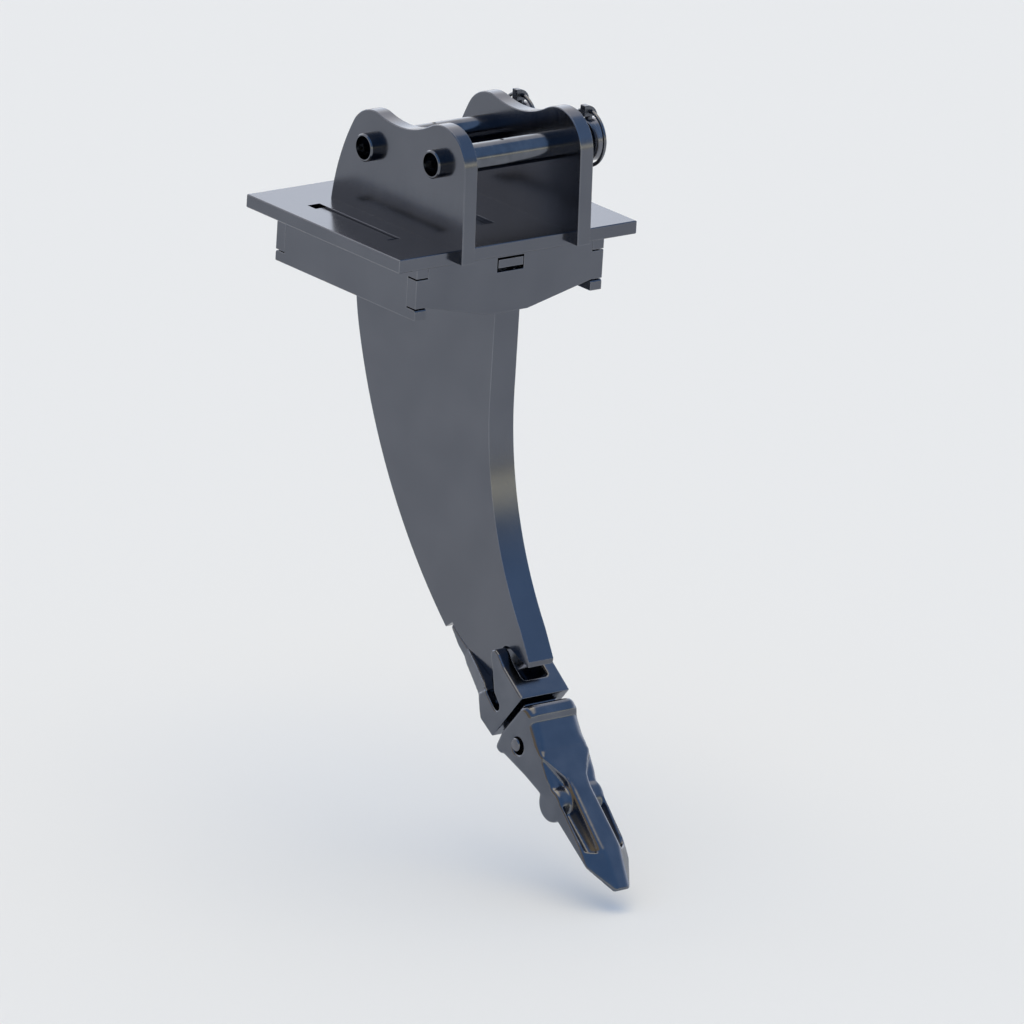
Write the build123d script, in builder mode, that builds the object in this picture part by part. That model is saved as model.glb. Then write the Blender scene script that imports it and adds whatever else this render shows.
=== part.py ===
# Ripper shank tooth for a small excavator. Sizes are in millimetres, +Z is up.
# The digging side is -Y and the greased ends of the hitch pins are at -X.
# The origin is the centre of the front hitch pin, midway between the two ears.
import os
from math import atan2, cos, degrees, hypot, radians, sin, sqrt
from build123d import *

os.makedirs("parts", exist_ok=True)

# hitch ears and pins
pin_d = 30.0             # hitch pin diameter
pin_dy = 114.3           # rear pin behind the front pin
pin_drop = 12.5          # rear pin below the front pin
ear_gap = 135.0          # free width between the ears
ear_t = 17.0             # ear plate thickness
ear_front_r = 41.6       # rounding of the ear over the front pin
ear_rear_r = 39.0        # rounding of the ear over the rear pin
ear_valley_r = 113.0     # hollow between the two roundings
ear_back = 80.7          # rear end of the ear's foot, behind the middle of the plate
ear_hook_drop = 12.0     # nose of the ear below the top face of the plate
ear_hook_reach = 13.4    # nose of the ear in front of the plate
pin_clear = 0.05         # play of a hitch pin in ear and collar, on the radius
pin_stand = 11.0         # greased end of a pin past the left ear
cup_r = 12.5             # recess in the greased end
cup_depth = 20.0
pin_chamfer = 1.2
nipple_d = 6.0           # grease nipple in the floor of the recess
nipple_seat = 5.5
nipple_hex = 8.0
nipple_hex_t = 4.0
nipple_neck = 6.0
grease_d = 4.0           # grease drillings of a pin
grease_x = -3.6          # outlet on top of a pin

# top plate
plate_w = 312.0
plate_l = 264.0
plate_t = 14.5
plate_drop = 85.5        # top face of the plate below the front pin
plate_back = 97.5        # middle of the plate behind the front pin
slot_l = 139.0           # slots in the top plate
tab_l = 124.0            # tabs in those slots
skirt_recess = 2.2       # skirt tabs below the top face
shank_recess = 5.0       # shank tab below the top face
slot_play = 0.4          # side play of a tab in its slot
break_edge = 0.8         # broken edges of the plates

# box under the plate
box_w = 246.2            # outer width over the skirt plates
box_l = 241.2            # outer length over the cross plates
box_t = 15.0             # skirt and cross plate thickness
skirt_h = 73.5           # lower edge of a skirt plate below the top face
cross_h = 80.5           # lower edge of a cross plate below the top face
cross_flat = 51.6        # length of that lower edge before it slopes up
notch_top = 28.8         # notch for the cross plate's end, from the top face
notch_low = 62.2
notch_gap = 1.1          # play of a cross plate end in its notch
notch_round = 3.0        # rounded lower corner of the notch
key_slot_w = 34.8        # slot of a cross plate for the shank's key
key_slot_h = 15.4
key_slot_top = 20.2      # from the top face
key_h = 8.8              # key of the shank in that slot
key_top = 22.4

# shank plate
shank_t = 32.4
shank_inset = 1.2        # shank edge behind the face of the cross plates
front_bend_top = 171.0   # front edge leaves the vertical here, from the top face
rear_bend_r = 280.0      # first bend of the rear edge
rear_bend_end = 160.0

# nose adapter and tooth
joint_reach = 200.0      # joint of tooth and adapter in front of the middle of the top plate
joint_drop = 498.0       # and below its top face
adapter_w = 64.6
leg_w = 61.6             # rear leg of the adapter where it leaves the body
leg_top_w = 33.8         # and at its top, almost flush with the shank plate
cheek_clear = 0.1        # adapter cheek to shank plate, per side
seat_clear = 0.4         # tongue of the shank to the rear leg
slot_round = 4.0         # rounded floor of the adapter's slot
axis_deg = 40.0          # tooth axis below the horizontal
nose_l = 60.0
nose_root = (-28.0, 22.0, 21.0)      # lower face, upper face and half width at the joint
nose_end = (-13.0, 7.0, 13.5)        # the same at the end of the nose
nose_clear = 0.3         # nose to tooth socket, per side
socket_deeper = 1.5      # socket floor past the end of the nose
boss_r = 19.2
boss_w = 60.8            # over the two side bosses
boss_round = 3.5
boss_u, boss_v = 105.5, -7.4
wing_w = 59.2            # width of the tooth at its wings
rib_w = 25.0             # front rib of the tooth at the collar
rib_flare = 1.6          # its gain in width towards the point
pocket_v = -1.2          # floor of the side pockets at the collar
pocket_w = 9.6           # width of that floor and the foot of the rib
tooth_gap = 5.8          # collar of the tooth from the joint
tooth_l = 220.5          # tip of the tooth from the joint
cast_round = 3.0         # rounding of the collar's front edges
rear_bevel = 4.5         # bevel of its rear edges
tooth_pin_d = 14.0
pin_u, pin_v = 29.8, -6.4
tooth_pin_l = 68.6
tooth_hole_d = 18.4
tooth_hole_lag = 2.0     # hole of the tooth sits this much further out than the pin
lock_d = 26.0            # snap ring on the tooth pin
lock_t = 7.0
lock_groove = 1.0        # depth of the pin's groove
lock_x = 8.6             # floor of its seat in the nose
lock_clear = 0.1
lock_slit = 5.0

# collars, linch pins and their rings
collar_r = 22.9
collar_w = 14.5
collar_off = 19.5        # collar past the right ear
pin_overrun = 1.5        # locked end of a hitch pin past its collar
linch_d = 8.0
linch_clear = 0.15
linch_tip_h = 3.0
linch_under = 2.1        # linch pin tip below the collar
head_foot = 3.1          # head of a linch pin above the collar
head_w = 17.0
head_h = 12.0
head_t = 8.0
head_inner = 8.5         # inner side of the head from the linch pin axis
wire_d = 4.0
ring_r = 29.5
ring_blend_r = 12.0
ring_stub = 5.0          # straight ends of the ring, from the middle
hinge_rise = 5.0         # pivot of the ring above the underside of the head
hinge_clear = 0.06
hinge_web = 1.0          # half of the web between the two pivot holes

# places that follow from these sizes
half_gap = ear_gap / 2
ear_x = half_gap + ear_t
skirt_x = box_w / 2
skirt_in = skirt_x - box_t
box_y = box_l / 2
box_in = box_y - box_t
collar_x = ear_x + collar_off
linch_x = collar_x + 6.0
pin_left = -ear_x - pin_stand
pin_right = collar_x + collar_w + pin_overrun
pin_places = (("front", 0.0, 0.0), ("rear", pin_dy, -pin_drop))


def at(y, z):
    # y counts from the middle of the top plate, z from its top face
    return (y + plate_back, z - plate_drop)


def from_joint(y, z):
    # y and z count from the joint of tooth and adapter
    return at(y - joint_reach, z - joint_drop)


def polar(centre, r, deg):
    return (centre[0] + r * cos(radians(deg)), centre[1] + r * sin(radians(deg)))


def third(c1, r1, c2, r2):
    # point at distance r1 from c1 and r2 from c2, on the upper side
    dy, dz = c2[0] - c1[0], c2[1] - c1[1]
    d = hypot(dy, dz)
    a = (r1 * r1 - r2 * r2 + d * d) / (2 * d)
    h = sqrt(r1 * r1 - a * a)
    return (c1[0] + (a * dy - h * dz) / d, c1[1] + (a * dz + h * dy) / d)


def angle(centre, p):
    return degrees(atan2(p[1] - centre[1], p[0] - centre[0]))


# top plate: flat head plate with slots for both skirt plates and the shank
with BuildPart() as top_plate:
    with Locations((0, plate_back, -plate_drop)):
        Box(plate_w, plate_l, plate_t, align=(Align.CENTER, Align.CENTER, Align.MAX))
    for face in (top_plate.faces().sort_by(Axis.Z)[-1], top_plate.faces().sort_by(Axis.Z)[0]):
        chamfer(face.outer_wire().edges(), break_edge)
    for x, w in ((-skirt_x + box_t / 2, box_t), (skirt_x - box_t / 2, box_t), (0, shank_t)):
        with Locations((x, plate_back, -plate_drop)):
            Box(w + 2 * slot_play, slot_l, 3 * plate_t, mode=Mode.SUBTRACT)
top_plate.part.label = "top_plate"
export_step(top_plate.part, "parts/top_plate.step")

# hitch ears: rounded over each pin, hollow between, with a nose in front of the top plate
ear_base = at(ear_back, 0)
ear_heel = (ear_base[0], ear_base[1] + 5.0)
ear_toe = at(-plate_l / 2 - ear_hook_reach, -ear_hook_drop)
front_c = (-2.3, -1.0)
rear_c = (pin_dy, -pin_drop)
valley_c = third(front_c, ear_front_r + ear_valley_r, rear_c, ear_rear_r + ear_valley_r)
front_top = polar(front_c, ear_front_r, angle(front_c, valley_c))
rear_top = polar(rear_c, ear_rear_r, angle(rear_c, valley_c))
toe_dist = hypot(ear_toe[0] - front_c[0], ear_toe[1] - front_c[1])
toe_run = sqrt(toe_dist ** 2 - ear_front_r ** 2)
brow = polar(front_c, ear_front_r, angle(front_c, ear_toe) - degrees(atan2(toe_run, ear_front_r)))
back_deg = 30.0
back = polar(rear_c, ear_rear_r, back_deg)
for name, x in (("left_ear", -ear_x), ("right_ear", half_gap)):
    with BuildPart() as ear:
        with BuildSketch(Plane.YZ.offset(x)):
            with BuildLine():
                Polyline(at(-plate_l / 2, 0), at(-plate_l / 2, -ear_hook_drop), ear_toe, brow)
                ThreePointArc(brow, polar(front_c, ear_front_r, 120), front_top)
                ThreePointArc(front_top, polar(valley_c, ear_valley_r, -90), rear_top)
                ThreePointArc(rear_top, polar(rear_c, ear_rear_r, 65), back)
                TangentArc(back, ear_heel, tangent=(sin(radians(back_deg)), -cos(radians(back_deg))))
                Polyline(ear_heel, ear_base, at(-plate_l / 2, 0))
            make_face()
            with Locations((0, 0), rear_c):
                Circle(pin_d / 2 + pin_clear, mode=Mode.SUBTRACT)
        extrude(amount=ear_t)
        rims = ear.faces().filter_by(Axis.X)
        chamfer([e for f in rims for e in f.outer_wire().edges().filter_by(GeomType.CIRCLE)], break_edge)
    ear.part.label = name
    export_step(ear.part, f"parts/{name}.step")

# skirt plates: side walls of the box, tabbed into the top plate, notched for the cross plates
skirt_pts = [(-box_y, -plate_t), (-tab_l / 2, -plate_t), (-tab_l / 2, -skirt_recess),
             (tab_l / 2, -skirt_recess), (tab_l / 2, -plate_t), (box_y, -plate_t),
             (box_y, -notch_top), (box_in, -notch_top), (box_in, -notch_low), (box_y, -notch_low),
             (box_y, -skirt_h), (-box_y, -skirt_h), (-box_y, -notch_low), (-box_in, -notch_low),
             (-box_in, -notch_top), (-box_y, -notch_top)]
for name, x in (("left_skirt_plate", -skirt_x), ("right_skirt_plate", skirt_in)):
    with BuildPart() as skirt:
        with BuildSketch(Plane.YZ.offset(x)):
            with BuildLine():
                Polyline(*[at(*p) for p in skirt_pts], close=True)
            face = make_face()
            fillet([v for v in face.vertices() if abs(v.Y - at(0, -notch_low)[1]) < 0.01
                    and abs(abs(v.X - plate_back) - box_y) < 0.01], notch_round)
        extrude(amount=box_t)
    skirt.part.label = name
    export_step(skirt.part, f"parts/{name}.step")

# cross plates: end walls of the box, with a slot for the key of the shank
end_top = -notch_top - notch_gap
end_low = -notch_low + notch_gap
half_pts = [(skirt_in, -plate_t), (skirt_in, end_top), (skirt_x, end_top), (skirt_x, end_low),
            (skirt_in, end_low), (cross_flat / 2, -cross_h)]
cross_pts = half_pts + [(-x, z) for x, z in reversed(half_pts)]
for name, y in (("front_cross_plate", -box_in), ("rear_cross_plate", box_y)):
    with BuildPart() as cross:
        with BuildSketch(Plane.XZ.offset(-(y + plate_back))):
            with BuildLine():
                Polyline(*[(x, z - plate_drop) for x, z in cross_pts], close=True)
            make_face()
            with Locations((0, -plate_drop - key_slot_top - key_slot_h / 2)):
                Rectangle(key_slot_w, key_slot_h, mode=Mode.SUBTRACT)
        extrude(amount=box_t)
    cross.part.label = name
    export_step(cross.part, f"parts/{name}.step")

# shank: curved plate with a tab into the top plate, keys into both cross plates,
# a heel at its front and a tapered tongue that the adapter straddles
shank_y = box_y - shank_inset
rear_deg = degrees(atan2(1, sqrt((rear_bend_r / (rear_bend_end - cross_h)) ** 2 - 1)))
rear_in = rear_bend_r * (1 - cos(radians(rear_deg)))
rear_mid = at(shank_y - rear_in, -rear_bend_end)
# these points count from the joint of tooth and adapter
bend_foot = (5.2, 90.0)
shoulder = (131.0, 58.0)
heel = [(-11.2, 61.5), (-10.6, 55.6), (22.5, 67.6), (30.4, 67.2), (34.8, 60.5)]
tongue = [(30.0, 24.5), (48.0, 26.0), (69.5, 37.1), (91.0, 46.4), (113.0, 59.8), (120.5, 65.8)]
with BuildPart() as shank:
    with BuildSketch(Plane.YZ.offset(-shank_t / 2)):
        with BuildLine():
            Polyline(at(shank_y, -cross_h), at(box_in, -cross_h), at(box_in, -key_top - key_h),
                     at(box_y, -key_top - key_h), at(box_y, -key_top), at(box_in, -key_top),
                     at(box_in, -plate_t), at(tab_l / 2, -plate_t), at(tab_l / 2, -shank_recess),
                     at(-tab_l / 2, -shank_recess), at(-tab_l / 2, -plate_t), at(-box_in, -plate_t),
                     at(-box_in, -key_top), at(-box_y, -key_top), at(-box_y, -key_top - key_h),
                     at(-box_in, -key_top - key_h), at(-box_in, -cross_h), at(-shank_y, -cross_h),
                     at(-shank_y, -front_bend_top))
            TangentArc(at(-shank_y, -front_bend_top), from_joint(*bend_foot), tangent=(0, -1))
            Polyline(*[from_joint(*p) for p in [bend_foot] + heel[:3]])
            ThreePointArc(*[from_joint(*p) for p in heel[2:]])
            Polyline(*[from_joint(*p) for p in [heel[-1]] + tongue + [shoulder]])
            TangentArc(at(shank_y, -cross_h), rear_mid, tangent=(0, -1))
            TangentArc(rear_mid, from_joint(*shoulder),
                       tangent=(-sin(radians(rear_deg)), -cos(radians(rear_deg))))
        make_face()
    extrude(amount=shank_t)
shank.part.label = "shank"
export_step(shank.part, "parts/shank.step")

# the tooth axis: u runs from the joint to the tip, v is square to it, towards the front face
ca, sa = cos(radians(axis_deg)), sin(radians(axis_deg))
joint = from_joint(0, 0)
axis_dir = (0, -ca, -sa)


def uv(u, v):
    return (joint[0] - ca * u - sa * v, joint[1] - sa * u + ca * v)


def across(u):
    # plane square to the tooth axis, local axes are X and v
    return Plane(origin=(0, *uv(u, 0)), x_dir=(1, 0, 0), z_dir=axis_dir)


pin_yz = uv(pin_u, pin_v)
hole_yz = uv(pin_u + tooth_hole_lag, pin_v - 0.3)


def nose_section(u, grow):
    # lower face, upper face and half width of the nose at u, all moved out by grow
    f = u / nose_l
    low, high, half = (a + f * (b - a) for a, b in zip(nose_root, nose_end))
    with BuildSketch(across(u)) as section:
        with Locations((0, (low + high) / 2)):
            Rectangle(2 * (half + grow), high - low + 2 * grow)
    return section.sketch


# nose adapter: casting with a nose for the tooth, a front prong with a U slot for the heel
# and a rear leg that backs the tongue, parted from the prong by a keyhole
body_pts = [(-22.2, 27.4), (11.2, 51.6), (21.4, 63.4), (27.0, 66.8), (32.4, 64.6), (34.2, 58.6),
            (28.6, 41.6), (24.8, 20.8), (15.2, 9.6), (14.4, 6.2), (16.4, 2.4), (20.4, 1.6),
            (24.4, 4.0), (36.8, 15.6), (37.6, 18.6), (49.6, 11.0), (47.5, -6.1), (44.8, -14.9),
            (23.2, -28.0)]
leg_seat = [(y, z - seat_clear) for y, z in tongue[1:5]]
leg_back = [(119.4, 64.1), (121.4, 60.0), (108.7, 44.5), (88.9, 28.9), (66.8, 16.7), (53.5, 9.0),
            (46.0, -6.0), (36.0, 4.0), (38.0, 18.0)]
leg_top, leg_foot = leg_back[0], leg_back[-1]
slot_floor = [(28.0, 19.4), (22.5, 19.6), (-40.0, 65.5)]
slot_top = 98.0
slot_pts = ([(leg_seat[-1][0], slot_top)] + leg_seat[::-1] + slot_floor
            + [(slot_floor[-1][0], slot_top)])
leg_l = hypot(leg_top[0] - leg_foot[0], leg_top[1] - leg_foot[1])
leg_way = (0, (leg_foot[0] - leg_top[0]) / leg_l, (leg_foot[1] - leg_top[1]) / leg_l)
leg_plan = [(-20.0, leg_top_w / 2), (0.36 * leg_l, leg_top_w / 2), (0.95 * leg_l, leg_w / 2),
            (1.5 * leg_l, adapter_w / 2)]
with BuildPart() as leg:
    with BuildSketch(Plane.YZ.offset(-adapter_w / 2)):
        with BuildLine():
            Polyline(*[from_joint(*p) for p in leg_seat + leg_back], close=True)
        make_face()
    extrude(amount=adapter_w)
    with BuildSketch(Plane(origin=(0, *from_joint(*leg_top)), x_dir=leg_way,
                           z_dir=(0, leg_way[2], -leg_way[1]))):
        with BuildLine():
            Polyline(*(leg_plan + [(s, -x) for s, x in reversed(leg_plan)]), close=True)
        make_face()
    extrude(amount=leg_l, both=True, mode=Mode.INTERSECT)
with BuildPart() as slot:
    with BuildSketch(Plane.YZ.offset(-shank_t / 2 - cheek_clear)):
        with BuildLine():
            Polyline(*[from_joint(*p) for p in slot_pts], close=True)
        make_face()
    extrude(amount=shank_t + 2 * cheek_clear)
    ramp = hypot(slot_floor[2][0] - slot_floor[1][0], slot_floor[2][1] - slot_floor[1][1])
    fillet([e for e in slot.edges() if abs(e.length - ramp) < 0.01], slot_round)
with BuildPart() as nose_adapter:
    with BuildSketch(Plane.YZ.offset(-adapter_w / 2)):
        with BuildLine():
            Polyline(*[from_joint(*p) for p in body_pts], close=True)
        make_face()
    extrude(amount=adapter_w)
    add(slot.part, mode=Mode.SUBTRACT)
    add(leg.part)
    loft(sections=[nose_section(-2.0, 0), nose_section(nose_l, 0)], ruled=True)
    with BuildSketch(Plane.YZ.offset(-adapter_w)):
        with Locations(pin_yz):
            Circle(tooth_pin_d / 2)
    extrude(amount=2 * adapter_w, mode=Mode.SUBTRACT)
    with BuildSketch(Plane.YZ.offset(lock_x)):
        with Locations(pin_yz):
            Circle(lock_d / 2)
    extrude(amount=adapter_w, mode=Mode.SUBTRACT)
nose_adapter.part.label = "nose_adapter"
export_step(nose_adapter.part, "parts/nose_adapter.step")

# tooth: cast in one piece, with a collar round the nose, a front rib between two deep side
# pockets, a boss in each pocket, and wings that run out into a wide blunt point
lip_pts = [(tooth_gap, -18.5), (tooth_gap, 31.0), (9.0, 35.5), (13.4, 37.2), (21.5, 36.8),
           (24.0, 34.5), (26.5, 31.0), (22.0, -37.0), (17.0, -39.6), (12.0, -39.4), (10.2, -37.0)]
# lower face, upper face and half width of the collar's neck at each u
neck = [(22.0, -37.0, 32.4, adapter_w / 2), (60.0, -22.4, 20.3, adapter_w / 2),
        (84.7, -14.8, 12.3, adapter_w / 2), (97.0, -12.4, 8.4, boss_w / 2)]
flare_pts = [(58.0, 22.0), (65.0, 20.8), (96.0, 19.2), (104.0, 18.2), (104.0, -2.0), (58.0, -10.0)]
wing_x, rib_x = wing_w / 2, rib_w / 2
flare_plan = [(58.0, 31.0), (64.0, 31.0), (91.0, rib_x + 1.8), (104.0, rib_x - 0.4)]
# lower face, crest of the wings, half width and height of the rib, half width over the wings
wing_sections = [(96.0, -12.6, 8.8, rib_x, 19.2, wing_x),
                 (116.0, -10.6, 9.4, rib_x + 0.3 * rib_flare, 18.2, wing_x),
                 (164.0, -5.7, 5.2, rib_x + 0.8 * rib_flare, 15.9, wing_x),
                 (179.0, -4.2, 0.6, rib_x + 0.6 * rib_flare, 15.2, wing_x),
                 (187.4, -3.8, -2.2, rib_x, 12.4, wing_x - 0.4)]
point_half = [(9.8, -4.2), (9.8, -0.9), (9.6, 0.0), (9.0, 0.6), (7.5, 1.0)]
pocket_start = [(rib_x, 40.0), (rib_x, 19.2), (rib_x + 1.8, 8.0),
                (rib_x + 0.65 * pocket_w, pocket_v + 0.2), (rib_x + pocket_w, pocket_v),
                (wing_x + 0.4, 13.8), (wing_x + 4.4, 40.0)]
pocket_end = [(rib_x + 0.8, 40.0), (rib_x + 0.8, 15.4), (rib_x + 2.6, 7.6),
              (rib_x + 0.65 * pocket_w, pocket_v + 2.0), (rib_x + 0.95 * pocket_w, pocket_v + 1.8),
              (wing_x + 0.4, 8.1), (wing_x + 4.4, 40.0)]
pocket_plan = [(95.9, 0.0), (168.0, wing_x + 6.0), (168.0, wing_x), (180.0, rib_x), (180.0, 0.0)]
pocket_plan.insert(1, (95.9, wing_x + 6.0))
front = Plane(origin=(0, *joint), x_dir=axis_dir, z_dir=(0, -sa, ca))
with BuildPart() as flare:
    with BuildSketch(Plane.YZ.offset(-adapter_w / 2)):
        with BuildLine():
            Polyline(*[uv(*p) for p in flare_pts], close=True)
        make_face()
    extrude(amount=adapter_w)
    with BuildSketch(front.offset(-60)):
        with BuildLine():
            Polyline(*(flare_plan + [(u, -x) for u, x in reversed(flare_plan)]), close=True)
        make_face()
    extrude(amount=120, mode=Mode.INTERSECT)
with BuildPart() as pockets:
    for u, half in ((90.0, pocket_start), (185.0, pocket_end)):
        with BuildSketch(across(u)):
            with BuildLine():
                Polyline(*half, close=True)
            make_face()
    loft(ruled=True)
    with BuildSketch(front.offset(-60)):
        with BuildLine():
            Polyline(*pocket_plan, close=True)
        make_face()
    extrude(amount=120, mode=Mode.INTERSECT)
    mirror(about=Plane.YZ)
with BuildPart() as bosses:
    with BuildSketch(Plane.YZ.offset(-boss_w / 2)):
        with Locations(uv(boss_u, boss_v)):
            Circle(boss_r)
    extrude(amount=boss_w)
    fillet(bosses.edges().filter_by(GeomType.CIRCLE), boss_round)
with BuildPart() as neck_part:
    for u, low, high, x in neck:
        half = [(x - rear_bevel, low), (x, low + rear_bevel), (x, high - cast_round),
                (x - 0.3 * cast_round, high - 0.3 * cast_round), (x - cast_round, high)]
        with BuildSketch(across(u)):
            with BuildLine():
                Polyline(*(half + [(-x, v) for x, v in reversed(half)]), close=True)
            make_face()
    loft(ruled=True)
with BuildPart() as wings:
    for u, low, crest, rib, top, x in wing_sections:
        half = [(x, low), (x, max(crest - 1.4, low + 0.4)), (x - 1.2, crest), (rib, top - 2.4),
                (rib - 2.4, top)]
        with BuildSketch(across(u)):
            with BuildLine():
                Polyline(*(half + [(-x, v) for x, v in reversed(half)]), close=True)
            make_face()
    with BuildSketch(across(tooth_l)):
        with BuildLine():
            Polyline(*(point_half + [(-x, v) for x, v in reversed(point_half)]), close=True)
        make_face()
    loft(ruled=True)
with BuildPart() as tooth:
    with BuildSketch(Plane.YZ.offset(-adapter_w / 2)):
        with BuildLine():
            Polyline(*[uv(*p) for p in lip_pts], close=True)
        make_face()
    extrude(amount=adapter_w)
    add(neck_part.part)
    add(wings.part)
    add(flare.part)
    add(pockets.part, mode=Mode.SUBTRACT)
    add(bosses.part)
    loft(sections=[nose_section(tooth_gap - 8.0, nose_clear),
                   nose_section(nose_l + socket_deeper, nose_clear)],
         ruled=True, mode=Mode.SUBTRACT)
    with BuildSketch(Plane.YZ.offset(-adapter_w)):
        with Locations(hole_yz):
            Circle(tooth_hole_d / 2)
    extrude(amount=2 * adapter_w, mode=Mode.SUBTRACT)
tooth.part.label = "tooth"
export_step(tooth.part, "parts/tooth.step")

# tooth pin: steel pin through tooth and nose, with a groove for its snap ring
groove_r = tooth_pin_d / 2 - lock_groove
with BuildPart() as tooth_pin:
    with BuildSketch(Plane.YZ.offset(-tooth_pin_l / 2)):
        with Locations(pin_yz):
            Circle(tooth_pin_d / 2)
    extrude(amount=tooth_pin_l)
    chamfer(tooth_pin.edges(), 1.0)
    with BuildSketch(Plane.YZ.offset(lock_x)):
        with Locations(pin_yz):
            Circle(tooth_pin_d / 2 + 1)
            Circle(groove_r, mode=Mode.SUBTRACT)
    extrude(amount=lock_t, mode=Mode.SUBTRACT)
tooth_pin.part.label = "tooth_pin"
export_step(tooth_pin.part, "parts/tooth_pin.step")

# snap ring: slit ring in the counterbore of the nose, which springs into the pin's groove
with BuildPart() as tooth_pin_retainer:
    with BuildSketch(Plane.YZ.offset(lock_x + lock_clear)):
        with Locations(pin_yz):
            Circle(lock_d / 2 - lock_clear)
            Circle(groove_r + lock_clear, mode=Mode.SUBTRACT)
        with Locations((pin_yz[0], pin_yz[1] + lock_d / 2)):
            Rectangle(lock_slit, lock_d, mode=Mode.SUBTRACT)
    extrude(amount=lock_t - 2 * lock_clear)
tooth_pin_retainer.part.label = "tooth_pin_retainer"
export_step(tooth_pin_retainer.part, "parts/tooth_pin_retainer.step")

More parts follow.
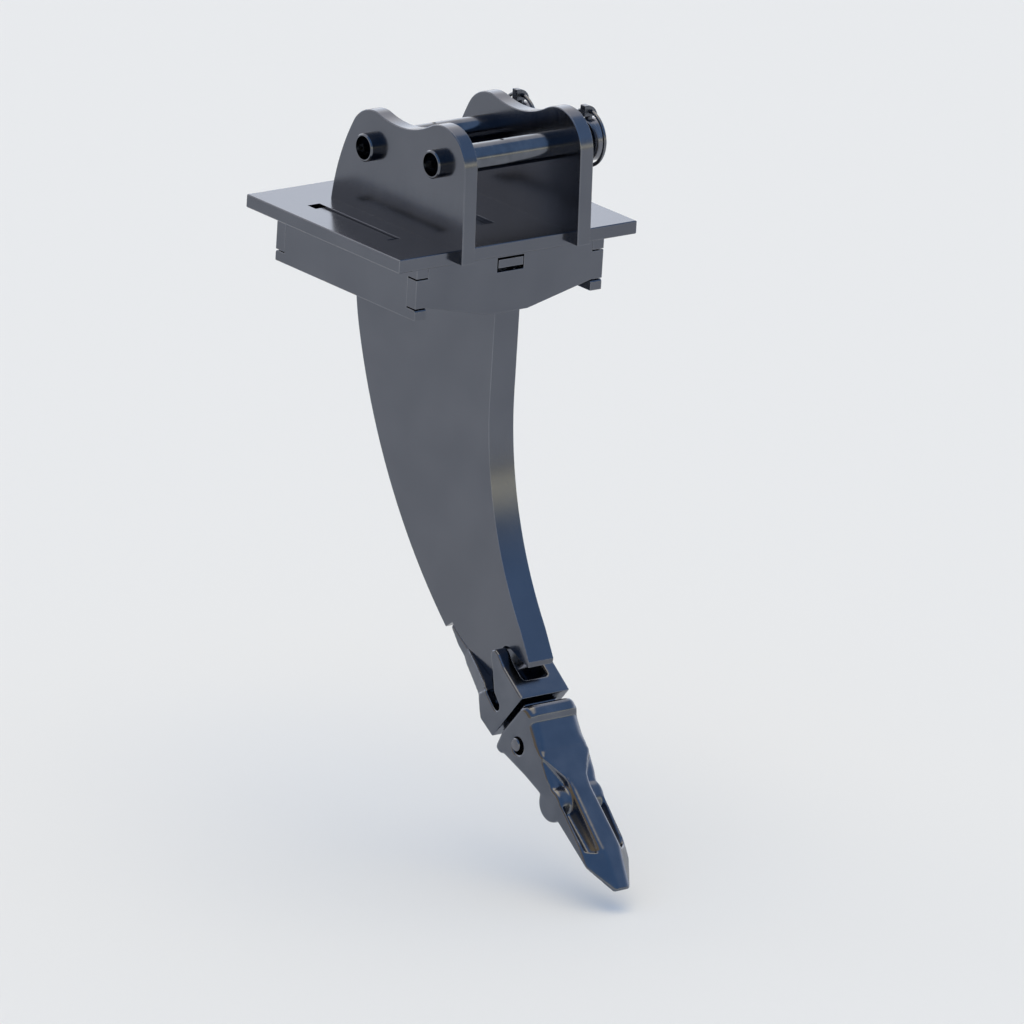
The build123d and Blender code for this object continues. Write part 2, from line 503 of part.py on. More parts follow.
# both hitch pins with what locks and greases them
for where, y, z in pin_places:
    # hitch pin: turned bar with a recess for its grease nipple, drilled for grease and linch pin
    with BuildPart() as hitch_pin:
        with BuildSketch(Plane.YZ.offset(pin_left)):
            with Locations((y, z)):
                Circle(pin_d / 2)
        extrude(amount=pin_right - pin_left)
        chamfer(hitch_pin.edges(), pin_chamfer)
        for r, depth in ((cup_r, cup_depth), (nipple_d / 2, cup_depth + nipple_seat),
                         (grease_d / 2, grease_x + grease_d / 2 - pin_left)):
            with BuildSketch(Plane.YZ.offset(pin_left)):
                with Locations((y, z)):
                    Circle(r)
            extrude(amount=depth, mode=Mode.SUBTRACT)
        with BuildSketch(Plane.XY.offset(z)):
            with Locations((grease_x, y)):
                Circle(grease_d / 2)
        extrude(amount=pin_d, mode=Mode.SUBTRACT)
        with BuildSketch(Plane.XY.offset(z - pin_d)):
            with Locations((linch_x, y)):
                Circle(linch_d / 2 + linch_clear)
        extrude(amount=2 * pin_d, mode=Mode.SUBTRACT)
    hitch_pin.part.label = f"{where}_hitch_pin"
    export_step(hitch_pin.part, f"parts/{where}_hitch_pin.step")

    # grease nipple: screwed into the floor of the recess
    with BuildPart() as nipple:
        with BuildSketch(Plane.YZ.offset(pin_left + cup_depth)):
            with Locations((y, z)):
                Circle(nipple_d / 2)
        extrude(amount=nipple_seat)
        with BuildSketch(Plane.YZ.offset(pin_left + cup_depth - nipple_hex_t)):
            with Locations((y, z)):
                RegularPolygon(nipple_hex / 2, 6, major_radius=False)
        extrude(amount=nipple_hex_t)
        with BuildSketch(Plane.YZ.offset(pin_left + cup_depth - nipple_hex_t - nipple_neck)):
            with Locations((y, z)):
                Circle(nipple_d / 2 - 0.6)
        extrude(amount=nipple_neck)
        chamfer(nipple.faces().sort_by(Axis.X)[0].edges(), 1.2)
    nipple.part.label = f"{where}_grease_nipple"
    export_step(nipple.part, f"parts/{where}_grease_nipple.step")

    # collar: turned ring on the locked end, cross-drilled for the linch pin
    with BuildPart() as collar:
        with BuildSketch(Plane.YZ.offset(collar_x)):
            with Locations((y, z)):
                Circle(collar_r)
                Circle(pin_d / 2 + pin_clear, mode=Mode.SUBTRACT)
        extrude(amount=collar_w)
        chamfer(collar.faces().filter_by(GeomType.CYLINDER).sort_by(SortBy.AREA)[-1].edges(), 1.0)
        with BuildSketch(Plane.XY.offset(z - 2 * collar_r)):
            with Locations((linch_x, y)):
                Circle(linch_d / 2 + linch_clear)
        extrude(amount=4 * collar_r, mode=Mode.SUBTRACT)
    collar.part.label = f"{where}_pin_collar"
    export_step(collar.part, f"parts/{where}_pin_collar.step")

    # linch pin: round bar with a pointed end and a forged quarter-round head
    foot = z + collar_r + head_foot
    tip = z - collar_r - linch_under
    hinge_z = foot + hinge_rise
    face_x = linch_x - head_inner
    with BuildPart() as linch_pin:
        with BuildSketch(Plane.XY.offset(tip)):
            with Locations((linch_x, y)):
                Circle(linch_d / 2)
        extrude(amount=foot - tip)
        chamfer(linch_pin.faces().sort_by(Axis.Z)[0].edges(), linch_tip_h, linch_tip_h / 2)
        with BuildSketch(Plane.XZ.offset(-(y + head_t / 2))):
            with BuildLine():
                Polyline((face_x + head_w, foot + 1.5), (face_x + head_w, foot), (face_x, foot),
                         (face_x, foot + head_h), (face_x + 1.5, foot + head_h))
                ThreePointArc((face_x + 1.5, foot + head_h),
                              (face_x + 0.74 * head_w, foot + 0.72 * head_h),
                              (face_x + head_w, foot + 1.5))
            make_face()
        extrude(amount=head_t)
        for start, way in ((y - head_t, 1), (y + head_t, -1)):
            with BuildSketch(Plane(origin=(0, start, 0), x_dir=(1, 0, 0), z_dir=(0, way, 0))):
                with Locations((linch_x, -way * hinge_z)):
                    Circle(wire_d / 2 + hinge_clear)
            extrude(amount=head_t - hinge_web, mode=Mode.SUBTRACT)
    linch_pin.part.label = f"{where}_linch_pin"
    export_step(linch_pin.part, f"parts/{where}_linch_pin.step")

    # linch ring: spring wire bent round, drawn with twelve sides, its straight ends pivot in the head
    blend_z = hinge_z - ring_blend_r
    ring_z = blend_z - sqrt((ring_r - ring_blend_r) ** 2 - ring_stub ** 2)
    lean = degrees(atan2(blend_z - ring_z, ring_stub))
    with BuildPart() as ring:
        with BuildLine(Plane.YZ.offset(linch_x)):
            for way in (1, -1):
                inner = (y + way * (hinge_web + 0.2), hinge_z)
                bend = (y + way * ring_stub, hinge_z)
                bend_c = (y + way * ring_stub, blend_z)
                middle = (y, ring_z)
                turn = (lean + 90) / 2
                end = polar(middle, ring_r, 90 - way * (90 - lean))
                Line(inner, bend)
                ThreePointArc(bend, polar(bend_c, ring_blend_r, 90 - way * (90 - turn)), end)
                ThreePointArc(end, polar(middle, ring_r, 90 - way * (90 - lean + 60)),
                              (y, ring_z - ring_r))
        with BuildSketch(Plane(origin=(linch_x, y + hinge_web + 0.2, hinge_z), z_dir=(0, 1, 0))):
            RegularPolygon(wire_d / 2, 12)
        sweep()
    ring.part.label = f"{where}_linch_ring"
    export_step(ring.part, f"parts/{where}_linch_ring.step")
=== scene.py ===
import math

import bmesh
import bpy
from mathutils import Matrix, Vector


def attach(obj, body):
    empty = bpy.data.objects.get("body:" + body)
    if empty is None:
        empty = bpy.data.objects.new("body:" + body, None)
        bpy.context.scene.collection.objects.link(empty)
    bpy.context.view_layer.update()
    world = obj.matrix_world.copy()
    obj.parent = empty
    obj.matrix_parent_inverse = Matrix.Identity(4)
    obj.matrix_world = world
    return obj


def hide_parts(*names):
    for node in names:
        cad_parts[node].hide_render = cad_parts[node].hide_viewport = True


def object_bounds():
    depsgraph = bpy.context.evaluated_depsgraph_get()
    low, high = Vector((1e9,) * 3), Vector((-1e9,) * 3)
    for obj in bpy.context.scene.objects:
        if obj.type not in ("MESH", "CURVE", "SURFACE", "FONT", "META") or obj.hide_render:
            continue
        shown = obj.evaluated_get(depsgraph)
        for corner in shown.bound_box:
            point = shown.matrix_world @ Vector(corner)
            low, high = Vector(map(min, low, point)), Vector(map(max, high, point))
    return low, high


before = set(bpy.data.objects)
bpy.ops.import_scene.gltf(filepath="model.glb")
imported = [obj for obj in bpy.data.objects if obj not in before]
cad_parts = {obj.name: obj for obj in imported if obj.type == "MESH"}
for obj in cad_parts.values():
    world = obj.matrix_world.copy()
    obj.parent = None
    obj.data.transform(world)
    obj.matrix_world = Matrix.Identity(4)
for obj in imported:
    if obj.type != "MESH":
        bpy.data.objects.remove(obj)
cad_low, cad_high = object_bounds()
MM = 0.001

# Camera
# A long lens on the digging side, a little above the object and slightly rolled. It stands far
# off, so that the near and the far ear look almost the same size.
BACK = Vector((-0.597188, -0.738720, 0.312505))
RIGHT = Vector((0.788327, -0.612448, 0.058723))
UP = Vector((0.148013, 0.281424, 0.948099))
AIM = Vector((20.7, -24.6, -388.5)) * MM
DISTANCE = 11.1
camera_data = bpy.data.cameras.new("camera")
camera_data.sensor_width = 36
camera_data.lens = 372.76
camera_data.clip_end = 60
camera = bpy.data.objects.new("camera", camera_data)
bpy.context.scene.collection.objects.link(camera)
turn = Matrix((RIGHT, UP, BACK)).transposed().to_4x4()
camera.matrix_world = Matrix.Translation(AIM + BACK * DISTANCE) @ turn
bpy.context.scene.camera = camera


def linear(hex_colour):
    # sRGB hex value to the linear colour that the shaders want
    out = []
    for i in (1, 3, 5):
        c = int(hex_colour[i:i + 2], 16) / 255
        out.append(c / 12.92 if c <= 0.04045 else ((c + 0.055) / 1.055) ** 2.4)
    return (*out, 1.0)


def add(tree, kind, **given):
    # one node: a property by its name, an input by its name or as n and its number, and
    # each input takes a value or the socket that feeds it
    node = tree.nodes.new(kind)
    for key, value in given.items():
        if hasattr(node, key):
            setattr(node, key, value)
            continue
        socket = node.inputs[int(key[1:]) if key[1:].isdigit() else key.replace("_", " ")]
        if isinstance(value, bpy.types.NodeSocket):
            tree.links.new(value, socket)
        else:
            socket.default_value = value
    return node


def stops(node, *places):
    # colours of a ramp, each at its place from 0 to 1
    points = node.color_ramp.elements
    while len(points) < len(places):
        points.new(0.5)
    for point, (place, colour) in zip(points, places):
        point.position = place
        point.color = linear(colour)
    return node.outputs["Color"]


# Room
# Steel shows the room more than its own colour. The room is a tall window wall behind the
# object, a dim blue wall with a tan skirting on the camera's side, a tan curtain on the left,
# and a soft box overhead.
ROOM_STRENGTH = 2.0
TO_WINDOWS, TO_CURTAIN = (0.62, 0.78, 0.0), (-0.95, 0.30, 0.0)
world = bpy.data.worlds.new("room")
bpy.context.scene.world = world
world.use_nodes = True
tree = world.node_tree
tree.nodes.clear()
way = add(tree, "ShaderNodeTexCoord").outputs["Generated"]
height = add(tree, "ShaderNodeSeparateXYZ", Vector=way).outputs["Z"]
depth = add(tree, "ShaderNodeVectorMath", operation="DOT_PRODUCT", n0=way, n1=TO_WINDOWS)
behind = add(tree, "ShaderNodeMapRange", interpolation_type="SMOOTHSTEP",
             Value=depth.outputs["Value"], From_Min=-0.25, From_Max=0.45).outputs["Result"]
near_wall = stops(add(tree, "ShaderNodeValToRGB", Fac=height),
                  (0.00, "#7A766C"), (0.03, "#EFE7CC"), (0.10, "#E0D8BE"), (0.20, "#66788F"),
                  (0.40, "#5E7DA2"), (0.82, "#5E7DA2"), (0.93, "#F2E3C8"))
far_wall = stops(add(tree, "ShaderNodeValToRGB", Fac=height),
                 (0.00, "#E7E9EE"), (0.12, "#E6EBF4"), (0.36, "#E6EBF4"), (0.56, "#95A0B2"),
                 (0.82, "#5E7DA2"), (0.93, "#F2E3C8"))
walls = add(tree, "ShaderNodeMix", data_type="RGBA", n0=behind, n6=near_wall, n7=far_wall)
aside = add(tree, "ShaderNodeVectorMath", operation="DOT_PRODUCT", n0=way, n1=TO_CURTAIN)
left = add(tree, "ShaderNodeMapRange", interpolation_type="SMOOTHSTEP",
           Value=aside.outputs["Value"], From_Min=0.72, From_Max=0.90).outputs["Result"]
curtain = stops(add(tree, "ShaderNodeValToRGB", Fac=height),
                (0.00, "#8A8172"), (0.06, "#A08A68"), (0.36, "#A08A68"), (0.50, "#5E7DA2"))
sides = add(tree, "ShaderNodeMix", data_type="RGBA", n0=left, n6=walls.outputs[2], n7=curtain)
glow = add(tree, "ShaderNodeBackground", Color=sides.outputs[2], Strength=ROOM_STRENGTH)
add(tree, "ShaderNodeOutputWorld", Surface=glow.outputs[0])

# Floor
# Pale matt paper, unrolled under the object and out to the walls. The tooth hangs a little way
# over it, so that its shadow lies in front of its point.
FLOOR_HALF, UNDER_TOOTH = 40.0, 22.0
floor_mesh = bpy.data.meshes.new("floor")
floor_z = cad_low[2] - UNDER_TOOTH * MM
corners = [(x * FLOOR_HALF, y * FLOOR_HALF, floor_z)
           for x, y in ((-1, -1), (1, -1), (1, 1), (-1, 1))]
floor_mesh.from_pydata(corners, [], [(0, 1, 2, 3)])
floor = bpy.data.objects.new("floor", floor_mesh)
bpy.context.scene.collection.objects.link(floor)
paper = bpy.data.materials.new("matt_studio_paper")
paper.use_nodes = True
sheen = paper.node_tree.nodes["Principled BSDF"]
sheen.inputs["Base Color"].default_value = linear("#E4E6E6")
sheen.inputs["Roughness"].default_value = 0.9
sheen.inputs["Specular IOR Level"].default_value = 0.1
floor_mesh.materials.append(paper)

# Lamp
# One broad lamp high behind the object, whose soft shadow falls forward under the tooth.
lamp_data = bpy.data.lights.new("lamp", "SUN")
lamp_data.energy = 0.92
lamp_data.color = (1.0, 0.80, 0.53)
lamp_data.angle = math.radians(78)
lamp = bpy.data.objects.new("lamp", lamp_data)
lamp.rotation_euler = (math.radians(-34), math.radians(6), 0)
bpy.context.scene.collection.objects.link(lamp)


# Top plate
# Flame-cut steel plate, ground bright and then darkened, with three slots for the tabs below
# it. Every plate of the head is cut from the same kind of stock.
def metal(name, colour, roughness):
    # bare steel: its colour and its mean roughness are set on the shader itself
    material = bpy.data.materials.new(name)
    material.use_nodes = True
    tree = material.node_tree
    shader = tree.nodes["Principled BSDF"]
    shader.inputs["Base Color"].default_value = linear(colour)
    shader.inputs["Metallic"].default_value = 1.0
    shader.inputs["Roughness"].default_value = roughness
    place = add(tree, "ShaderNodeTexCoord").outputs["Object"]
    return material, tree, shader, place


# Darkened plate: a dull mirror with faint clouds and grain along the rolling direction, and a
# painted highlight of paler steel colour along its broken edges, patchy with the clouds.
plate_steel, tree, shader, place = metal("darkened_steel_plate", "#62656D", 0.19)
clouds = add(tree, "ShaderNodeTexNoise", Vector=place, Scale=1000 / 70, Detail=4.0)
along = add(tree, "ShaderNodeMapping", Vector=place, Scale=(1000 / 1.1, 1000 / 1.1, 1000 / 26))
grain = add(tree, "ShaderNodeTexNoise", Vector=along.outputs[0], Scale=1.0, Detail=3.0)
dull = add(tree, "ShaderNodeMapRange", Value=clouds.outputs["Fac"], From_Min=0.3, From_Max=0.7,
           To_Min=0.165, To_Max=0.215)
streaky = add(tree, "ShaderNodeMapRange", Value=grain.outputs["Fac"], From_Min=0.35,
              From_Max=0.65, To_Min=-0.025, To_Max=0.035)
rough = add(tree, "ShaderNodeMath", operation="ADD", n0=dull.outputs[0], n1=streaky.outputs[0])
tree.links.new(rough.outputs[0], shader.inputs["Roughness"])
tone = stops(add(tree, "ShaderNodeValToRGB", Fac=clouds.outputs["Fac"]),
             (0.35, "#60636B"), (0.65, "#656870"))
# painted highlight: along the edges the base colour turns to a paler steel, patchy with the
# clouds
rounded = add(tree, "ShaderNodeBevel", samples=4, Radius=1.1 * MM)
flat = add(tree, "ShaderNodeNewGeometry").outputs["Normal"]
bend = add(tree, "ShaderNodeVectorMath", operation="DOT_PRODUCT", n0=rounded.outputs[0], n1=flat)
edge = add(tree, "ShaderNodeMapRange", Value=bend.outputs["Value"], From_Min=0.99,
           From_Max=0.90, To_Min=0.0, To_Max=1.0)
painted_edge_highlight = add(tree, "ShaderNodeMath", operation="MULTIPLY", n0=edge.outputs[0],
           n1=clouds.outputs["Fac"])
highlit_plate_tone = add(tree, "ShaderNodeMix", data_type="RGBA", n0=painted_edge_highlight.outputs[0], n6=tone,
            n7=linear("#A4A7AC"))
tree.links.new(highlit_plate_tone.outputs[2], shader.inputs["Base Color"])
relief = add(tree, "ShaderNodeBump", Height=grain.outputs["Fac"], Distance=0.008 * MM,
             Strength=0.35)
tree.links.new(relief.outputs[0], shader.inputs["Normal"])


def merged(node):
    # copy of a CAD node's mesh with its triangles joined
    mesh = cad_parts[node].data.copy()
    joined = bmesh.new()
    joined.from_mesh(mesh)
    bmesh.ops.remove_doubles(joined, verts=joined.verts, dist=0.005 * MM)
    joined.to_mesh(mesh)
    joined.free()
    return mesh


def applied(piece):
    # the piece's modifiers are made part of its mesh
    grid = bpy.context.evaluated_depsgraph_get()
    grid.update()
    mesh = bpy.data.meshes.new_from_object(piece.evaluated_get(grid))
    piece.modifiers.clear()
    piece.data = mesh
    return piece


def plate(node, edge_radius, extra=None):
    # a CAD plate with all its edges broken to a radius in mm, in the darkened steel, and an
    # extra form joined to it
    mesh = merged(node)
    cut = bmesh.new()
    cut.from_mesh(mesh)
    bmesh.ops.dissolve_limit(cut, angle_limit=math.radians(0.3), verts=cut.verts,
                             edges=cut.edges)
    for face in cut.faces:
        face.smooth = True
    cut.to_mesh(mesh)
    cut.free()
    piece = bpy.data.objects.new(node + "_finished", mesh)
    bpy.context.scene.collection.objects.link(piece)
    if extra:
        joined = piece.modifiers.new("joined", "BOOLEAN")
        joined.operation = "UNION"
        joined.solver = "EXACT"
        joined.object = extra
    broken = piece.modifiers.new("broken_edges", "BEVEL")
    broken.width = edge_radius * MM
    broken.segments = 3
    broken.limit_method = "ANGLE"
    broken.angle_limit = math.radians(28)
    even = piece.modifiers.new("flat_faces_stay_flat", "WEIGHTED_NORMAL")
    even.mode = "FACE_AREA"
    even.weight = 100
    even.keep_sharp = False
    applied(piece)
    piece.data.materials.clear()
    piece.data.materials.append(plate_steel)
    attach(piece, "root")
    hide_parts(node)
    return piece


# radius of the broken edges in mm: crisp on the top plate and the ears, rounder on the box
CRISP, SOFT = 0.3, 0.7
plate("top_plate", CRISP)

# Hitch ears
# Two plates that carry the pins, cut with a rounding over each pin and a hollow between.
# They stand on the top plate and hook over its front edge.
plate("left_ear", CRISP)
plate("right_ear", CRISP)

# Skirt plates
# Side walls of the box. Their tabs stand in the slots of the top plate, and their ends are
# notched for the cross plates.
plate("left_skirt_plate", SOFT)
plate("right_skirt_plate", SOFT)

# Cross plates
# End walls of the box, each with a slot through which the shank's key can be seen.
plate("front_cross_plate", SOFT)
plate("rear_cross_plate", SOFT)

# Shank
# One thick curved plate, flame-cut on both edges, tabbed into the top plate and both cross
# plates. Its lower end has a heel and a tongue for the adapter, and the tongue's toe fills the
# foot of the adapter's slot.
SHANK_EDGE, TOE_HALF = 0.9, 16.1
TOE = [(-71.8, -560.6), (-70.2, -540.6), (-77.4, -543.2), (-79.4, -560.6)]
toe_mesh = bpy.data.meshes.new("toe")
forge = bmesh.new()
sides = [[forge.verts.new(Vector((x, y, z)) * MM) for y, z in TOE] for x in (-TOE_HALF, TOE_HALF)]
forge.faces.new(sides[0])
forge.faces.new(sides[1])
for i in range(len(TOE)):
    j = (i + 1) % len(TOE)
    forge.faces.new((sides[0][i], sides[0][j], sides[1][j], sides[1][i]))
bmesh.ops.recalc_face_normals(forge, faces=forge.faces)
forge.to_mesh(toe_mesh)
forge.free()
toe = bpy.data.objects.new("toe", toe_mesh)
bpy.context.scene.collection.objects.link(toe)
plate("shank", SHANK_EDGE, toe)
bpy.data.objects.remove(toe)


# Nose adapter
# Steel casting that straddles the shank's tongue. It is cast in sand and tumbled smooth, so all
# of its edges are round.
SAND_VOXEL, ADAPTER_TUMBLING = 0.9, 12


def casting(node, skin, tumbling, eased=None):
    # a CAD casting with the rounded edges and the soft corners of a sand mould, which get
    # softer the longer it is tumbled
    piece = bpy.data.objects.new(node + "_cast", merged(node))
    bpy.context.scene.collection.objects.link(piece)
    mould = piece.modifiers.new("mould", "REMESH")
    mould.mode = "VOXEL"
    mould.voxel_size = SAND_VOXEL * MM
    mould.use_smooth_shade = True
    if eased:
        applied(piece)
        eased(piece.data)
    tumbled = piece.modifiers.new("tumbled", "SMOOTH")
    tumbled.factor = 0.5
    tumbled.iterations = tumbling
    applied(piece)
    piece.data.materials.clear()
    piece.data.materials.append(skin)
    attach(piece, "root")
    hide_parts(node)
    return piece


# Tumbled cast steel: glossy and dark, with a fine orange peel from the sand, duller in cloudy
# patches, and a painted highlight in paler colour on its convex edges.
cast_steel, tree, shader, place = metal("tumbled_cast_steel", "#62666F", 0.2)
clouds = add(tree, "ShaderNodeTexNoise", Vector=place, Scale=1000 / 24, Detail=4.0)
peel = add(tree, "ShaderNodeTexNoise", Vector=place, Scale=1000 / 2.2, Detail=2.0)
dull = add(tree, "ShaderNodeMapRange", Value=clouds.outputs["Fac"], From_Min=0.3, From_Max=0.7,
           To_Min=0.16, To_Max=0.24)
tree.links.new(dull.outputs[0], shader.inputs["Roughness"])
tone = stops(add(tree, "ShaderNodeValToRGB", Fac=clouds.outputs["Fac"]),
             (0.35, "#5F636C"), (0.65, "#666A73"))
# painted highlight: the base colour turns paler where the surface bulges out, along the edges
bulge = add(tree, "ShaderNodeNewGeometry").outputs["Pointiness"]
cast_edge_highlight = add(tree, "ShaderNodeMapRange", Value=bulge, From_Min=0.51, From_Max=0.58,
             To_Min=0.0, To_Max=0.25)
bright = add(tree, "ShaderNodeMix", data_type="RGBA", n0=cast_edge_highlight.outputs[0], n6=tone,
             n7=linear("#9FA3A9"))
tree.links.new(bright.outputs[2], shader.inputs["Base Color"])
relief = add(tree, "ShaderNodeBump", Height=peel.outputs["Fac"], Distance=0.05 * MM,
             Strength=0.35)
tree.links.new(relief.outputs[0], shader.inputs["Normal"])

casting("nose_adapter", cast_steel, ADAPTER_TUMBLING)

# Tooth
# Wearing part of alloy steel, cast in one piece and slid over the adapter's nose. The same
# tumbled skin, and the corners along the front of its collar are broadly rounded.
JOINT_Y, JOINT_Z, AXIS = -102.5, -583.5, math.radians(40)
COLLAR_HALF, CORNER_R, CORNER_LOSS, CORNER_FADE = 32.3, 9.0, 0.75, (46.0, 62.0)
TOOTH_TUMBLING = 38
# distance from the joint along the tooth, and height of the front face there, in mm
collar_front = [(5.8, 31.0), (9.0, 35.5), (13.4, 37.2), (21.5, 36.8), (24.0, 34.5), (26.5, 31.0),
                (60.0, 20.3), (62.0, 19.6)]


def round_collar(mesh):
    # moves what stands out of the rounded corner back onto it
    for vertex in mesh.vertices:
        x, y, z = vertex.co / MM
        dy, dz = y - JOINT_Y, z - JOINT_Z
        u = -(dy * math.cos(AXIS) + dz * math.sin(AXIS))
        v = dz * math.cos(AXIS) - dy * math.sin(AXIS)
        if not collar_front[0][0] < u < collar_front[-1][0]:
            continue
        for (u0, v0), (u1, v1) in zip(collar_front, collar_front[1:]):
            if u <= u1:
                front = v0 + (v1 - v0) * (u - u0) / (u1 - u0)
                break
        fade = max(0.0, (u - CORNER_FADE[0]) / (CORNER_FADE[1] - CORNER_FADE[0]))
        corner = CORNER_R * (1 - CORNER_LOSS * fade)
        out, up = abs(x) - (COLLAR_HALF - corner), v - (front - corner)
        reach_out = math.hypot(out, up)
        if out > 0 and up > 0 and reach_out > corner:
            k = corner / reach_out
            x = math.copysign(COLLAR_HALF - corner + k * out, x)
            drop = up * (1 - k)
            vertex.co = Vector((x, y + drop * math.sin(AXIS), z - drop * math.cos(AXIS))) * MM


casting("tooth", cast_steel, TOOTH_TUMBLING, round_collar)

# Tooth pin and its snap ring
# A turned pin through tooth and nose, held by a slit ring in a groove. Turned steel shows fine
# rings round its axis.
turned_steel, tree, shader, place = metal("turned_pin_steel", "#6E7077", 0.22)
around = add(tree, "ShaderNodeMapping", Vector=place, Scale=(1000 / 0.5, 1000 / 18, 1000 / 18))
rings = add(tree, "ShaderNodeTexNoise", Vector=around.outputs[0], Scale=1.0, Detail=2.0)
dull = add(tree, "ShaderNodeMapRange", Value=rings.outputs["Fac"], From_Min=0.3, From_Max=0.7,
           To_Min=0.16, To_Max=0.30)
tree.links.new(dull.outputs[0], shader.inputs["Roughness"])
tone = stops(add(tree, "ShaderNodeValToRGB", Fac=rings.outputs["Fac"]),
             (0.35, "#676970"), (0.65, "#777980"))
tree.links.new(tone, shader.inputs["Base Color"])
relief = add(tree, "ShaderNodeBump", Height=rings.outputs["Fac"], Distance=0.01 * MM,
             Strength=0.6)
tree.links.new(relief.outputs[0], shader.inputs["Normal"])


def finish_node(node, material):
    # a CAD node keeps its shape and gets its real finish
    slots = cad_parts[node].data.materials
    slots.clear()
    slots.append(material)


finish_node("tooth_pin", turned_steel)

# Drawn spring steel: bright, with faint draw marks.
spring_wire, tree, shader, place = metal("drawn_spring_steel", "#686A70", 0.2)
marks = add(tree, "ShaderNodeTexNoise", Vector=place, Scale=1000 / 0.8, Detail=3.0)
dull = add(tree, "ShaderNodeMapRange", Value=marks.outputs["Fac"], From_Min=0.3, From_Max=0.7,
           To_Min=0.14, To_Max=0.30)
tree.links.new(dull.outputs[0], shader.inputs["Roughness"])
tone = stops(add(tree, "ShaderNodeValToRGB", Fac=marks.outputs["Fac"]),
             (0.35, "#636569"), (0.65, "#707278"))
tree.links.new(tone, shader.inputs["Base Color"])
finish_node("tooth_pin_retainer", spring_wire)

# Hitch pins
# Hardened bars, ground round and polished, with a recess in the greased end. The grinding
# leaves fine rings, so each wall of the room becomes a long streak.
PINS = (("front", 0.0, 0.0), ("rear", 114.3, -12.5))    # y and z of their axes, in mm
ground_steel, tree, shader, place = metal("ground_pin_steel", "#62656C", 0.16)
around = add(tree, "ShaderNodeMapping", Vector=place, Scale=(1000 / 0.6, 1000 / 24, 1000 / 24))
rings = add(tree, "ShaderNodeTexNoise", Vector=around.outputs[0], Scale=1.0, Detail=3.0)
clouds = add(tree, "ShaderNodeTexNoise", Vector=place, Scale=1000 / 14, Detail=3.0)
both = add(tree, "ShaderNodeMath", operation="MULTIPLY", n0=rings.outputs["Fac"],
           n1=clouds.outputs["Fac"])
dull = add(tree, "ShaderNodeMapRange", Value=both.outputs[0], From_Min=0.12, From_Max=0.40,
           To_Min=0.10, To_Max=0.22)
tree.links.new(dull.outputs[0], shader.inputs["Roughness"])
tone = stops(add(tree, "ShaderNodeValToRGB", Fac=clouds.outputs["Fac"]),
             (0.35, "#5D6067"), (0.65, "#686B72"))
tree.links.new(tone, shader.inputs["Base Color"])
relief = add(tree, "ShaderNodeBump", Height=rings.outputs["Fac"], Distance=0.01 * MM,
             Strength=0.4)
tree.links.new(relief.outputs[0], shader.inputs["Normal"])
for where, pin_y, pin_z in PINS:
    finish_node(where + "_hitch_pin", ground_steel)

# Grease nipples
# Small zinc-plated nipples in the floors of the pins' recesses: a hexagon to turn them, a waist
# and a rounded head that the grease gun grips.
zinc, tree, shader, place = metal("zinc_plated_steel", "#A9ABA8", 0.3)
spangle = add(tree, "ShaderNodeTexVoronoi", Vector=place, Scale=1000 / 0.7)
dull = add(tree, "ShaderNodeMapRange", Value=spangle.outputs["Distance"], From_Max=0.8,
           To_Min=0.24, To_Max=0.38)
tree.links.new(dull.outputs[0], shader.inputs["Roughness"])
tone = stops(add(tree, "ShaderNodeValToRGB", Fac=spangle.outputs["Distance"]),
             (0.1, "#B2B4B1"), (0.8, "#9C9E9A"))
tree.links.new(tone, shader.inputs["Base Color"])
SEAT_X, SEAT_L, SEAT_R, HEX_T, HEX_AF, HEAD_L = -75.5, 5.4, 2.9, 4.0, 8.0, 6.0
ROUND, HEXAGON, CHAMFERED = 24, 6, 1.1
# distance past the hexagon and radius of the turned head, in mm
nipple_turned = [(0.0, 2.35), (0.6, 2.3), (1.4, 1.75), (2.6, 1.6), (3.4, 2.1), (4.4, 2.35),
                 (5.2, 2.1), (5.8, 1.3), (HEAD_L, 0.7)]
for where, pin_y, pin_z in PINS:
    body = bmesh.new()
    hex_start = SEAT_X - HEX_T
    outline = [(SEAT_X + SEAT_L, SEAT_R, ROUND), (SEAT_X, SEAT_R, ROUND),
               (SEAT_X, HEX_AF / 2, HEXAGON), (hex_start, HEX_AF / 2, HEXAGON)]
    outline += [(hex_start - step, r, ROUND) for step, r in nipple_turned]
    loops = []
    for x, r, sides in outline:
        loop = []
        for i in range(ROUND):
            a = math.tau * i / ROUND
            if sides == HEXAGON:
                sector = (a + math.pi / 6) % (math.pi / 3) - math.pi / 6
                reach_r = min(r / math.cos(sector), CHAMFERED * r)
            else:
                reach_r = r
            loop.append(body.verts.new(Vector((x, pin_y + reach_r * math.cos(a),
                                               pin_z + reach_r * math.sin(a))) * MM))
        loops.append(loop)
    for near, far in zip(loops, loops[1:]):
        for i in range(ROUND):
            j = (i + 1) % ROUND
            body.faces.new((near[i], near[j], far[j], far[i]))
    body.faces.new(loops[0])
    body.faces.new(loops[-1])
    bmesh.ops.recalc_face_normals(body, faces=body.faces)
    mesh = bpy.data.meshes.new(where + "_nipple")
    body.to_mesh(mesh)
    body.free()
    mesh.shade_smooth()
    mesh.set_sharp_from_angle(angle=math.radians(40))
    nipple = bpy.data.objects.new(where + "_nipple", mesh)
    bpy.context.scene.collection.objects.link(nipple)
    mesh.materials.append(zinc)
    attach(nipple, "root")
    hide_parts(where + "_grease_nipple")

# Pin collars
# Turned rings on the locked ends of the hitch pins, drilled across for the linch pins, in the
# same turned steel as the tooth pin.
for where, pin_y, pin_z in PINS:
    finish_node(where + "_pin_collar", turned_steel)

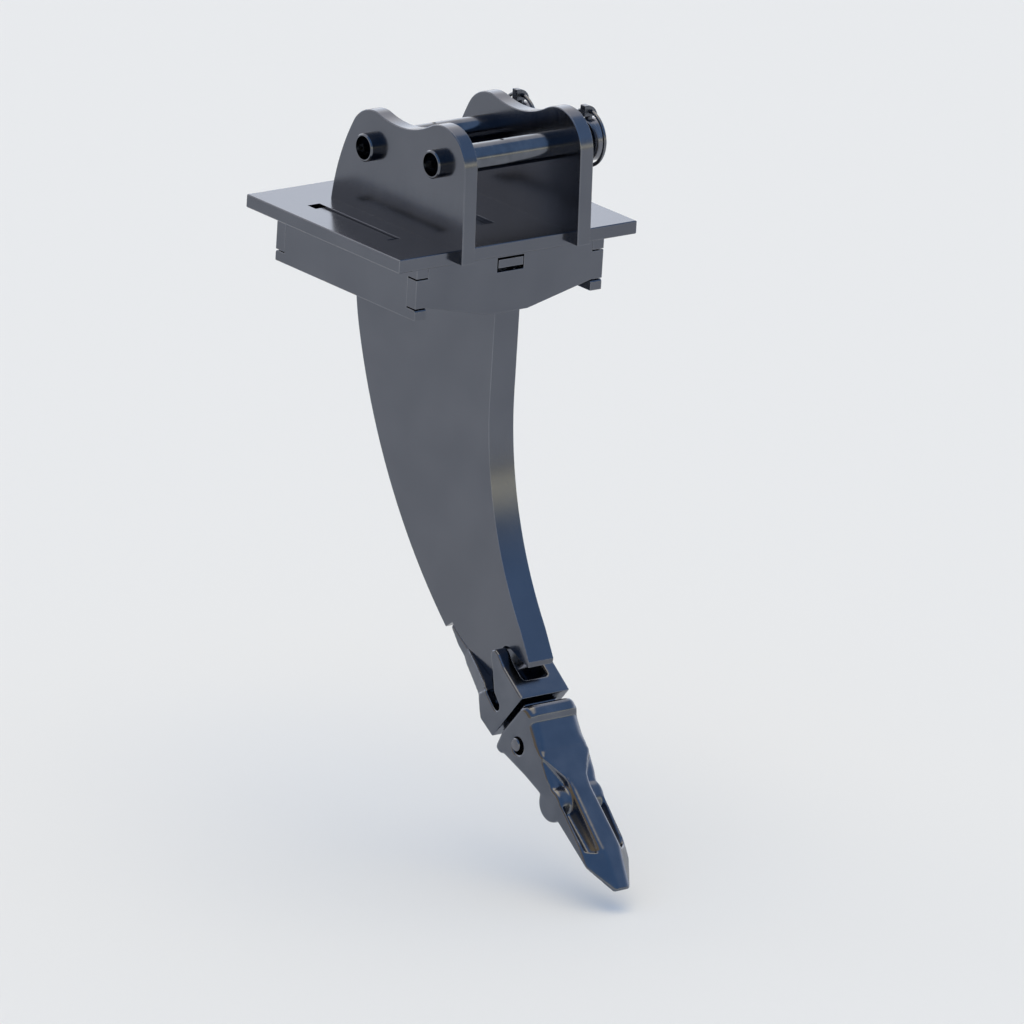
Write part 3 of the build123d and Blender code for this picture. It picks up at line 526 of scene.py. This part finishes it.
# Linch pins
# Drop-forged pins with a flat quarter-round head, barrelled until their edges are soft. They
# lock collar and hitch pin together.
FORGE_VOXEL, BARRELLING = 0.32, 5
forged_steel, tree, shader, place = metal("barrelled_forging", "#5C5F66", 0.24)
scale_marks = add(tree, "ShaderNodeTexNoise", Vector=place, Scale=1000 / 3.0, Detail=3.0)
dull = add(tree, "ShaderNodeMapRange", Value=scale_marks.outputs["Fac"], From_Min=0.3,
           From_Max=0.7, To_Min=0.18, To_Max=0.32)
tree.links.new(dull.outputs[0], shader.inputs["Roughness"])
tone = stops(add(tree, "ShaderNodeValToRGB", Fac=scale_marks.outputs["Fac"]),
             (0.35, "#565960"), (0.65, "#64676E"))
tree.links.new(tone, shader.inputs["Base Color"])
relief = add(tree, "ShaderNodeBump", Height=scale_marks.outputs["Fac"], Distance=0.04 * MM,
             Strength=0.3)
tree.links.new(relief.outputs[0], shader.inputs["Normal"])
for where, pin_y, pin_z in PINS:
    piece = bpy.data.objects.new(where + "_linch_pin_forged", merged(where + "_linch_pin"))
    bpy.context.scene.collection.objects.link(piece)
    forged = piece.modifiers.new("forged", "REMESH")
    forged.mode = "VOXEL"
    forged.voxel_size = FORGE_VOXEL * MM
    forged.use_smooth_shade = True
    barrelled = piece.modifiers.new("barrelled", "SMOOTH")
    barrelled.factor = 0.5
    barrelled.iterations = BARRELLING
    applied(piece)
    piece.data.materials.clear()
    piece.data.materials.append(forged_steel)
    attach(piece, "root")
    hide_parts(where + "_linch_pin")

# Linch rings
# Spring wire bent into a ring whose straight ends pivot in the head of the linch pin. The tree
# follows one path with round wire of a given thickness.
wire_tree = bpy.data.node_groups.new("bent_wire", "GeometryNodeTree")
wire_tree.interface.new_socket("Path", in_out="INPUT", socket_type="NodeSocketGeometry")
wire_tree.interface.new_socket("Wire Radius", in_out="INPUT", socket_type="NodeSocketFloat")
wire_tree.interface.new_socket("Sides", in_out="INPUT", socket_type="NodeSocketInt")
wire_tree.interface.new_socket("Wire", in_out="OUTPUT", socket_type="NodeSocketGeometry")
given = add(wire_tree, "NodeGroupInput")
section = add(wire_tree, "GeometryNodeCurvePrimitiveCircle", Radius=given.outputs["Wire Radius"],
              Resolution=given.outputs["Sides"])
swept = add(wire_tree, "GeometryNodeCurveToMesh", Curve=given.outputs["Path"],
            Profile_Curve=section.outputs["Curve"], Fill_Caps=True)
real = add(wire_tree, "GeometryNodeRealizeInstances", Geometry=swept.outputs["Mesh"])
coated = add(wire_tree, "GeometryNodeSetMaterial", Geometry=real.outputs["Geometry"],
             Material=spring_wire)
add(wire_tree, "NodeGroupOutput", Wire=coated.outputs["Geometry"])
WIRE_D, RING_R, BLEND_R, STUB, STUB_GAP = 4.0, 29.5, 12.0, 5.0, 1.2
LINCH_X, HINGE_RISE, RING_RISE = 110.0, 31.0, 2.23
BLEND_STEPS, RING_STEPS, WIRE_SIDES = 8, 40, 20
for where, pin_y, pin_z in PINS:
    hinge_z, ring_z = pin_z + HINGE_RISE, pin_z + RING_RISE
    lean = math.degrees(math.atan2(hinge_z - BLEND_R - ring_z, STUB))
    half = [(STUB_GAP, HINGE_RISE)]
    half += [(STUB + BLEND_R * math.cos(math.radians(a)),
              HINGE_RISE - BLEND_R + BLEND_R * math.sin(math.radians(a)))
             for a in [90 - (90 - lean) * k / BLEND_STEPS for k in range(BLEND_STEPS + 1)]]
    half += [(RING_R * math.cos(math.radians(a)), RING_RISE + RING_R * math.sin(math.radians(a)))
             for a in [lean - (lean + 90) * k / RING_STEPS for k in range(1, RING_STEPS + 1)]]
    loop = half + [(-y, z) for y, z in reversed(half[:-1])]
    path = bpy.data.curves.new(where + "_ring_path", "CURVE")
    path.dimensions = "3D"
    run = path.splines.new("POLY")
    run.points.add(len(loop) - 1)
    for point, (y, z) in zip(run.points, loop):
        point.co = (LINCH_X * MM, (pin_y + y) * MM, (pin_z + z) * MM, 1.0)
    ring = bpy.data.objects.new(where + "_ring_path", path)
    bpy.context.scene.collection.objects.link(ring)
    bent = ring.modifiers.new("bent_wire", "NODES")
    bent.node_group = wire_tree
    named = {s.name: s.identifier for s in wire_tree.interface.items_tree
             if s.in_out == "INPUT"}
    bent[named["Wire Radius"]] = WIRE_D / 2 * MM
    bent[named["Sides"]] = WIRE_SIDES
    grid = bpy.context.evaluated_depsgraph_get()
    grid.update()
    mesh = bpy.data.meshes.new_from_object(ring.evaluated_get(grid))
    bpy.data.objects.remove(ring)
    mesh.shade_smooth()
    mesh.set_sharp_from_angle(angle=math.radians(50))
    wire = bpy.data.objects.new(where + "_ring_wire", mesh)
    bpy.context.scene.collection.objects.link(wire)
    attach(wire, where + "_ring")
    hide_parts(where + "_linch_ring")

# colours show as they are written
bpy.context.scene.view_settings.view_transform = "Standard"
